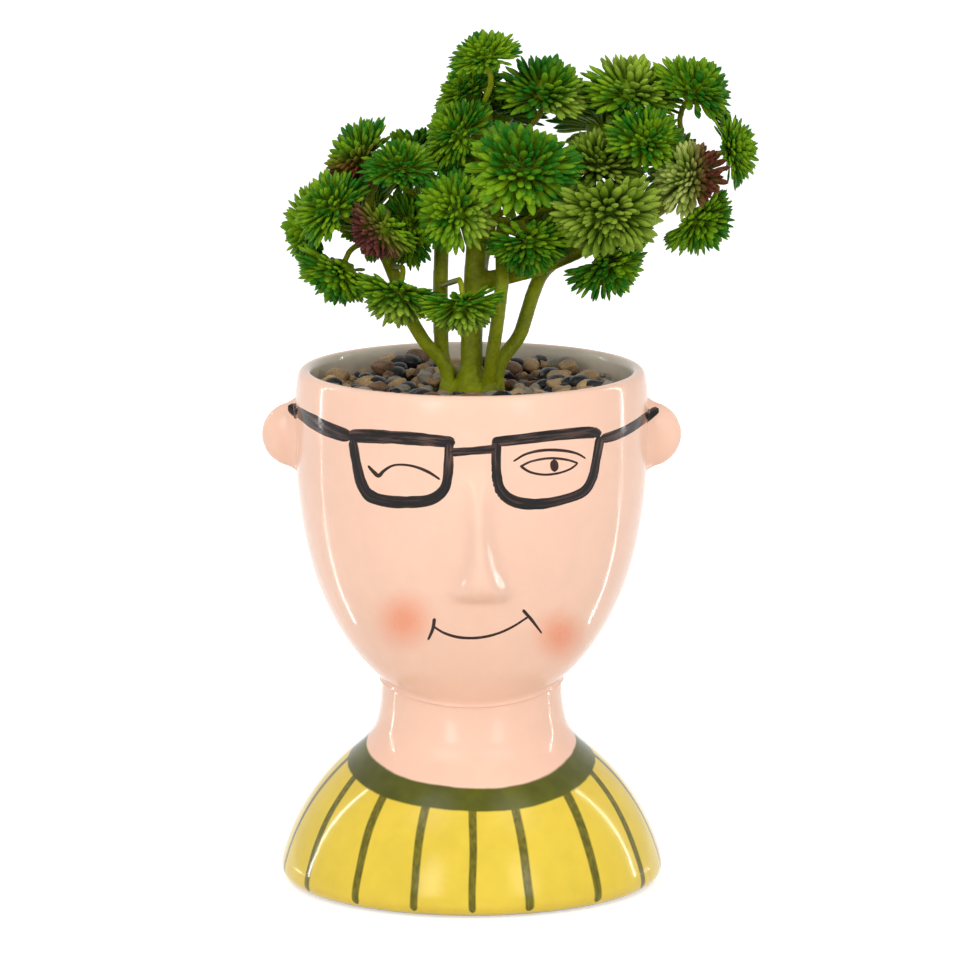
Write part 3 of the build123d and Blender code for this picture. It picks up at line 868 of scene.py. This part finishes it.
def joined_copies(masters, places):
    """Copies of the masters at (master number, matrix) places, joined into one object."""
    copies = []
    for number, matrix in places:
        copy = masters[number].copy()
        copy.data = masters[number].data.copy()
        copy.data.transform(matrix)
        bpy.context.collection.objects.link(copy)
        copies.append(copy)
    return join_all(copies)


def on_bed(radius, turn, rise):
    """A place over the gravel bed, in millimetres."""
    return (radius * math.cos(turn), radius * math.sin(turn), BED_TOP + rise)


def stone_matrix(chance, middle, half_width, half_height):
    """Place, turn and size of one stone, given in millimetres."""
    turn = Quaternion((0, 0, 1), chance.uniform(0, FULL_TURN)).to_matrix().to_4x4()
    lean = Quaternion((1, 0, 0), chance.uniform(-0.35, 0.35)).to_matrix().to_4x4()
    stretch = chance.uniform(0.85, 1.2)
    sizes = (half_width * stretch * MM, half_width / stretch * MM, half_height * MM, 1)
    return Matrix.Translation(Vector(middle) * MM) @ turn @ lean @ Matrix.Diagonal(sizes)


def islands(node):
    """Lowest and highest corners, in millimetres, of each separate solid of a node."""
    copy = merged_copy(node)
    mesh = bmesh.new()
    mesh.from_mesh(copy.data)
    boxes, seen = [], set()
    for start in mesh.verts:
        if start in seen:
            continue
        stack, points = [start], []
        seen.add(start)
        while stack:
            vertex = stack.pop()
            points.append(vertex.co / MM)
            for edge in vertex.link_edges:
                other = edge.other_vert(vertex)
                if other not in seen:
                    seen.add(other)
                    stack.append(other)
        low = Vector(min(point[axis] for point in points) for axis in range(3))
        high = Vector(max(point[axis] for point in points) for axis in range(3))
        boxes.append((low, high))
    mesh.free()
    remove_objects([copy])
    return boxes


class PLANTER_OT_gravel(bpy.types.Operator):
    """Lay the loose stones and the grains between them, and finish bed and foam"""

    bl_idname = "planter.gravel"
    bl_label = "Stones and gravel"

    def execute(self, context):
        gravel = context.scene.planter_gravel
        finishes, shapes = {}, {}
        for kind, (dark, light, gloss, coarse, fine, depth, lumps) in STONES.items():
            colour = getattr(gravel, kind)
            tones = shade(colour, dark), shade(colour, light)
            finishes[kind] = mottled_material("stone_" + kind, *tones, gloss, coarse, fine, depth)
            shapes[kind] = lumps
        masters = stone_masters(8, 3)
        chance = random.Random(7)
        for kind in STONE_KINDS:
            places = []
            for low, high in islands("pebbles_" + kind):
                middle = (low + high) / 2
                width = max(high.x - low.x, high.y - low.y) / 2 * chance.uniform(0.8, 1.2)
                height = (high.z - low.z) * chance.uniform(0.55, 0.75)
                centre = (middle.x, middle.y, high.z - height * chance.uniform(0.55, 0.9))
                shape = chance.choice(shapes[kind])
                places.append((shape, stone_matrix(chance, centre, width, height)))
            stones, slot, node = joined_copies(masters, places), "stone_" + kind, "pebbles_" + kind
            finish_piece(stones, "stones_" + kind, finishes[kind], "pot", slot, node)
        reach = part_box("gravel_bed")[1][0] / MM
        loose = {kind: [] for kind in STONE_KINDS}
        for number in range(gravel.loose):
            kind = STONE_KINDS[(0, 2, 1, 0, 3, 2)[number % 6]]
            radius = math.sqrt(chance.uniform(19.0**2, (reach - 4.2) ** 2))
            turn = number * GOLDEN_TURN + chance.uniform(-0.4, 0.4)
            half = chance.uniform(2.2, 4.2)
            rise = 4.2 + 2.6 * (radius - 19) / (reach - 23) + chance.uniform(-0.5, 0.7)
            centre, shape = on_bed(radius, turn, rise), chance.choice(shapes[kind])
            loose[kind].append((shape, stone_matrix(chance, centre, half, half * 0.68)))
        # A ring of small stones round the foot of the plant
        for number in range(20):
            kind = STONE_KINDS[(0, 3, 1, 0, 2)[number % 5]]
            turn = number * math.pi / 10 + chance.uniform(-0.06, 0.06)
            radius, half = 14.6 + chance.uniform(-0.4, 0.6), chance.uniform(1.9, 2.5)
            centre = on_bed(radius, turn, chance.uniform(3.6, 4.6))
            shape = chance.choice(shapes[kind])
            loose[kind].append((shape, stone_matrix(chance, centre, half, half * 0.8)))
        for kind, places in loose.items():
            layer = joined_copies(masters, places)
            finish_piece(layer, "loose_" + kind, finishes[kind], "pot", "gravel")
        grains = {kind: [] for kind in STONE_KINDS}
        for number in range(gravel.grains):
            kind = STONE_KINDS[(0, 1, 2, 3, 0, 2, 1, 3)[number % 8]]
            radius = math.sqrt(chance.uniform(14.5**2, (reach - 2.6) ** 2))
            turn = chance.uniform(0, 2 * math.pi)
            half = chance.uniform(1.3, 2.5)
            pile = 1.0 + 3.2 * min(1.0, (radius - 14.5) / 14)
            centre = on_bed(radius, turn, pile * chance.uniform(0.6, 1.3))
            grains[kind].append((number % 8, stone_matrix(chance, centre, half, half * 0.8)))
        pebbles = stone_masters(8, 1)
        for kind, places in grains.items():
            small = joined_copies(pebbles, places)
            finish_piece(small, "grains_" + kind, finishes[kind], "pot", "gravel")
        remove_objects(masters + pebbles)
        finish_node("gravel_bed", mottled_material(
            "bed_grit", (0.05, 0.032, 0.018), (0.30, 0.20, 0.11), (0.6, 0.9), 260, 1800, 0.0006
        ))
        finish_node("foam_plug", mottled_material(
            "plug_foam", (0.03, 0.09, 0.035), (0.08, 0.18, 0.07), (0.8, 1.0), 300, 2600, 0.0004
        ))
        return {"FINISHED"}


class PLANTER_OT_stems(bpy.types.Operator):
    """Smooth the stems and their foot, and give the anchor wire its steel finish"""

    bl_idname = "planter.stems"
    bl_label = "Stems and foot"

    def execute(self, context):
        plant = context.scene.planter_plant
        tones = shade(plant.stem, 0.55), shade(plant.stem, 1.25)
        bark = mottled_material("stem_plastic", *tones, (0.36, 0.55), 70, 800, 0.00025)
        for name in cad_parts:
            if not name.startswith("stem_") or name == "stem_crown":
                continue
            stem = merged_copy(name)
            apply_modifier(stem, "REMESH", mode="VOXEL", voxel_size=0.00055)
            apply_modifier(stem, "SMOOTH", factor=0.5, iterations=10)
            bpy.ops.object.shade_smooth()
            finish_piece(stem, name + "_smooth", bark, "plant", "stem_green", name)
        foot = merged_copy("stem_crown")
        for vertex in foot.data.vertices:
            if vertex.co.z > (CROWN_TOP - 1) * MM:
                vertex.co.xy *= 0.72
        flares = [self.flare(context, (0, 0), 7.8, 2.6, 11.0)]
        for x, y in STEM_SOCKETS:
            flares.append(self.flare(context, (x, y), 3.3, 1.2, 9.0))
        join_all([foot] + flares)
        apply_modifier(foot, "REMESH", mode="VOXEL", voxel_size=0.0006)
        apply_modifier(foot, "SMOOTH", factor=0.5, iterations=14)
        bpy.ops.object.shade_smooth()
        finish_piece(foot, "stem_foot", bark, "plant", "stem_green", "stem_crown")
        wire = mottled_material(
            "wire_steel", (0.32, 0.31, 0.30), (0.55, 0.54, 0.52), (0.25, 0.45), 200, 2500, 0.00005
        )
        wire.node_tree.nodes["Principled BSDF"].inputs["Metallic"].default_value = 1.0
        finish_node("anchor_wire", wire)
        return {"FINISHED"}

    def flare(self, context, middle, low, high, rise):
        """A cone that leads from the foot into a stem, its sizes in millimetres."""
        clear_selection()
        bpy.ops.mesh.primitive_cone_add(
            vertices=32, radius1=low * MM, radius2=high * MM, depth=rise * MM
        )
        cone = context.object
        lift = (CROWN_TOP - 2.5 + rise / 2) * MM
        for vertex in cone.data.vertices:
            tip = 1.12 if vertex.co.z > 0 else 1.0
            vertex.co.x += middle[0] * tip * MM
            vertex.co.y += middle[1] * tip * MM
            vertex.co.z += lift
        return cone


class PLANTER_OT_leaves(bpy.types.Operator):
    """Model one leaflet, gather it into heads and set the heads on their twigs"""

    bl_idname = "planter.leaves"
    bl_label = "Leaf heads"

    def execute(self, context):
        plant = context.scene.planter_plant
        leaflet = self.leaflet(context)
        masters = [self.head(leaflet, plant.leaflets, number) for number in range(4)]
        remove_objects([leaflet])
        plain = tuple(plant.leaf_root), tuple(plant.leaf_tip)
        finishes = {
            "green": leaf_material("leaf_green", *plain),
            "pale": leaf_material("leaf_pale", *PALE_LEAF),
        }
        chance = random.Random(21)
        for number, (hub, facing, length, tint) in enumerate(LEAF_HEADS, 1):
            centre = Vector((hub[0], hub[1], hub[2] + CROWN_TOP)) * MM
            if tint in HEAD_TINTS:
                own, start, slope, hue = HEAD_TINTS[tint]
                spread = (centre + Vector(start), Vector(slope), hue)
                finish = leaf_material("leaf_" + tint, *(own or plain), spread)
            elif number in PALE_SIDES:
                side = Vector(PALE_SIDES[number])
                spread = (centre + side * 0.003, side * 130, PALE_SIDE)
                finish = leaf_material(f"leaf_pale_side_{number:02d}", *plain, spread)
            else:
                finish = finishes[tint]
            aim = Vector((facing[0], facing[1] * FACING_DEPTH, facing[2])).normalized()
            turn = aim.to_track_quat("Z", "Y").to_matrix().to_4x4()
            spin = Quaternion((0, 0, 1), chance.uniform(0, FULL_TURN)).to_matrix().to_4x4()
            master = masters[number % 4]
            head = master.copy()
            head.data = master.data.copy()
            uneven = [chance.uniform(*limits) for limits in ((0.95, 1.12), (0.92, 1.08), (0.88, 1.02))]
            size = Matrix.Diagonal((*uneven, 1)) @ Matrix.Scale(length * MM, 4)
            head.data.transform(turn @ spin @ size)
            # Shrunk where a leaflet would pass the box of the source
            fit = 1.0
            for vertex in head.data.vertices:
                for axis in range(3):
                    room = cad_box[vertex.co[axis] > 0][axis] - centre[axis]
                    if abs(vertex.co[axis]) > abs(room):
                        fit = min(fit, room / vertex.co[axis])
            head.data.transform(Matrix.Translation(centre) @ Matrix.Scale(fit, 4))
            context.collection.objects.link(head)
            node = f"leaf_rosette_{number:02d}"
            finish_piece(head, f"leaf_head_{number:02d}", finish, "plant", "leaf_green", node)
        remove_objects(masters)
        return {"FINISHED"}

    def leaflet(self, context):
        """A leaflet from z 0 to 1: rings drawn out from a thin stalk to a rice grain with a point."""
        clear_selection()
        bpy.ops.mesh.primitive_circle_add(vertices=6, radius=0.045, fill_type="NGON")
        leaflet = context.object
        bpy.ops.object.mode_set(mode="EDIT")
        bpy.ops.mesh.select_all(action="SELECT")
        for rise, grow in LEAFLET_RINGS:
            bpy.ops.mesh.extrude_region_move(TRANSFORM_OT_translate={"value": (0, 0, rise)})
            bpy.ops.transform.resize(value=(grow, grow, 1))
        bpy.ops.mesh.select_all(action="SELECT")
        bpy.ops.mesh.normals_make_consistent(inside=False)
        bpy.ops.transform.resize(value=(1, 0.55, 1))
        bpy.ops.object.mode_set(mode="OBJECT")
        bpy.ops.object.shade_smooth()
        layers = leaflet.data.uv_layers
        grid = layers[0] if layers else layers.new(name="leaf")
        grid.name = "leaf"
        for loop in leaflet.data.loops:
            grid.data[loop.index].uv = (0.5, leaflet.data.vertices[loop.vertex_index].co.z)
        return leaflet

    def head(self, leaflet, count, number):
        """A dome of leaflets with a reach of 1 round its hub: lumpy, its rim bent back."""
        chance = random.Random(300 + number)
        swing, sway = chance.uniform(0, FULL_TURN), chance.uniform(0, FULL_TURN)
        copies = []
        for index in range(count):
            lean = math.acos(1.0 - (index + 0.5) / count) + chance.uniform(-0.08, 0.08)
            turn = index * GOLDEN_TURN + chance.uniform(-0.16, 0.16)
            lump = math.sin(3 * turn + swing) * math.sin(2.5 * lean + sway)
            if lump > 0.86:
                continue
            out = math.sin(lean)
            aim = Vector((out * math.cos(turn), out * math.sin(turn), math.cos(lean)))
            inner = Vector((aim.x * 0.26, aim.y * 0.26, 0.04 + aim.z * 0.16))
            outer = aim * (chance.uniform(1.02, 1.24) - 0.12 * lump)
            outer.z *= 0.86
            copy = leaflet.copy()
            copy.data = leaflet.data.copy()
            lot = chance.random()
            for entry in copy.data.uv_layers[0].data:
                entry.uv.x = lot
            width = chance.uniform(0.85, 1.15)
            tilt = (outer - inner).to_track_quat("Z", "Y").to_matrix().to_4x4()
            size = Matrix.Diagonal((width, width, (outer - inner).length, 1))
            copy.data.transform(Matrix.Translation(inner) @ tilt @ size)
            for vertex in copy.data.vertices:
                vertex.co.z -= 0.1 * (vertex.co.x ** 2 + vertex.co.y ** 2)
            bpy.context.collection.objects.link(copy)
            copies.append(copy)
        clear_selection()
        bpy.ops.mesh.primitive_uv_sphere_add(segments=16, ring_count=10, radius=0.5)
        core = bpy.context.object
        core.data.transform(Matrix.Translation((0, 0, 0.16)) @ Matrix.Diagonal((0.84, 0.84, 0.7, 1)))
        core.data.uv_layers[0].name = "leaf"
        # Coloured like a leaflet near its root, painted shade included
        for entry in core.data.uv_layers[0].data:
            entry.uv = (0.5, 0.2)
        copies.append(core)
        return join_all(copies)


class PLANTER_OT_studio(bpy.types.Operator):
    """Set up the floor, the lamps, the sky and the camera"""

    bl_idname = "planter.studio"
    bl_label = "Studio"

    def execute(self, context):
        studio = context.scene.planter_studio
        clear_selection()
        bpy.ops.mesh.primitive_plane_add(size=30.0, location=(0, 0, 0))
        floor = context.object
        floor.name = "studio_floor"
        floor.data.materials.append(self.floor_finish(studio))
        for name, (where, across, up, share) in LAMPS.items():
            light = bpy.data.lights.new(name, "AREA")
            light.shape = "RECTANGLE"
            light.size = across
            light.size_y = up
            light.energy = studio.lamp_power * share
            if name.startswith("lamp"):
                self.soften(light)
            lamp = bpy.data.objects.new(name, light)
            lamp.visible_diffuse = name.startswith("lamp")
            lamp.location = where
            lamp.rotation_euler = self.look(where, LAMP_AIM)
            if "low" in name:
                # Lies on the floor, its length towards the pot
                lamp.rotation_euler = (math.pi, 0, math.atan2(where[1], where[0]) + math.pi / 2)
                lamp.visible_camera = False
            context.collection.objects.link(lamp)
        world = bpy.data.worlds.new("studio_sky")
        context.scene.world = world
        world.use_nodes = True
        kit = NodeKit(world.node_tree)
        world.node_tree.nodes.clear()
        dim = kit.add("ShaderNodeBackground", {"Color": (1, 1, 1, 1), "Strength": 0.66})
        white = kit.add("ShaderNodeBackground", {"Color": (1, 1, 1, 1), "Strength": 1.0})
        blend = kit.add("ShaderNodeMixShader", {0: seen_white(kit), 1: dim.outputs[0], 2: white.outputs[0]})
        kit.add("ShaderNodeOutputWorld", {"Surface": blend.outputs[0]})
        camera_data = bpy.data.cameras.new("studio_camera")
        camera_data.lens = CAMERA_LENS
        camera_data.sensor_width = 36.0
        camera_data.clip_end = 50.0
        camera = bpy.data.objects.new("studio_camera", camera_data)
        camera.location = CAMERA_AT
        camera.rotation_euler = self.look(CAMERA_AT, CAMERA_AIM)
        context.collection.objects.link(camera)
        context.scene.camera = camera
        context.scene.view_settings.view_transform = "Standard"
        return {"FINISHED"}

    def look(self, where, aim):
        """Turn of a lamp or camera that stands in one place and aims at another."""
        return (Vector(aim) - Vector(where)).to_track_quat("-Z", "Y").to_euler()

    def soften(self, light):
        """Lets a soft lamp fade towards its edges, so that its reflection has none."""
        light.use_nodes = True
        kit = NodeKit(light.node_tree)
        spot = kit.add("ShaderNodeNewGeometry").outputs["Parametric"]
        away = kit.vector("SUBTRACT", spot, (0.5, 0.5, 0.0))
        far = kit.add("ShaderNodeVectorMath", {0: away}, operation="LENGTH").outputs["Value"]
        emission = light.node_tree.nodes["Emission"]
        kit.feed(emission.inputs["Strength"], kit.ramp(far, 0.5, 0.05, 0.0, 2.4))

    def floor_finish(self, studio):
        """Pale floor that reads white to the camera and keeps a soft shadow."""
        material, kit, shader = new_material("pale_floor")
        grain = kit.noise(kit.add("ShaderNodeTexCoord").outputs["Object"], 40.0, 2.0).outputs["Fac"]
        tones = shade(studio.floor, 0.99), tuple(studio.floor)
        kit.feed(shader.inputs["Base Color"], kit.mix(grain, *tones))
        shader.inputs["Roughness"].default_value = 0.9
        glow = kit.add("ShaderNodeEmission", {"Color": (1, 1, 1, 1), "Strength": 0.55})
        both = kit.add("ShaderNodeAddShader", {0: shader.outputs[0], 1: glow.outputs[0]})
        blend = kit.add("ShaderNodeMixShader", {0: seen_white(kit), 1: shader.outputs[0], 2: both.outputs[0]})
        output = material.node_tree.nodes["Material Output"]
        kit.feed(output.inputs["Surface"], blend.outputs[0])
        return material


class PLANTER_PT_panel(bpy.types.Panel):
    """Lists the planter's settings and steps"""

    bl_idname = "PLANTER_PT_panel"
    bl_label = "Head planter"
    bl_space_type = "VIEW_3D"
    bl_region_type = "UI"
    bl_category = "Planter"

    def draw(self, context):
        layout = self.layout
        for group, step in (
            ("planter_pot", "planter.pot"),
            ("planter_pot", "planter.lines"),
            ("planter_gravel", "planter.gravel"),
            ("planter_plant", "planter.stems"),
            ("planter_plant", "planter.leaves"),
            ("planter_studio", "planter.studio"),
        ):
            box = layout.box()
            settings = getattr(context.scene, group)
            for name in settings.__annotations__:
                box.prop(settings, name)
            box.operator(step)


SETTINGS = {
    "planter_pot": PotSettings,
    "planter_gravel": GravelSettings,
    "planter_plant": PlantSettings,
    "planter_studio": StudioSettings,
}
CLASSES = (
    *SETTINGS.values(),
    PLANTER_OT_pot,
    PLANTER_OT_lines,
    PLANTER_OT_gravel,
    PLANTER_OT_stems,
    PLANTER_OT_leaves,
    PLANTER_OT_studio,
    PLANTER_PT_panel,
)


def register():
    for cls in CLASSES:
        bpy.utils.register_class(cls)
    for name, group in SETTINGS.items():
        setattr(bpy.types.Scene, name, PointerProperty(type=group))


def unregister():
    for name in SETTINGS:
        delattr(bpy.types.Scene, name)
    for cls in reversed(CLASSES):
        bpy.utils.unregister_class(cls)


def main():
    register()
    bpy.ops.planter.pot()
    bpy.ops.planter.lines()
    bpy.ops.planter.gravel()
    bpy.ops.planter.stems()
    bpy.ops.planter.leaves()
    bpy.ops.planter.studio()


if __name__ == "__main__":
    main()
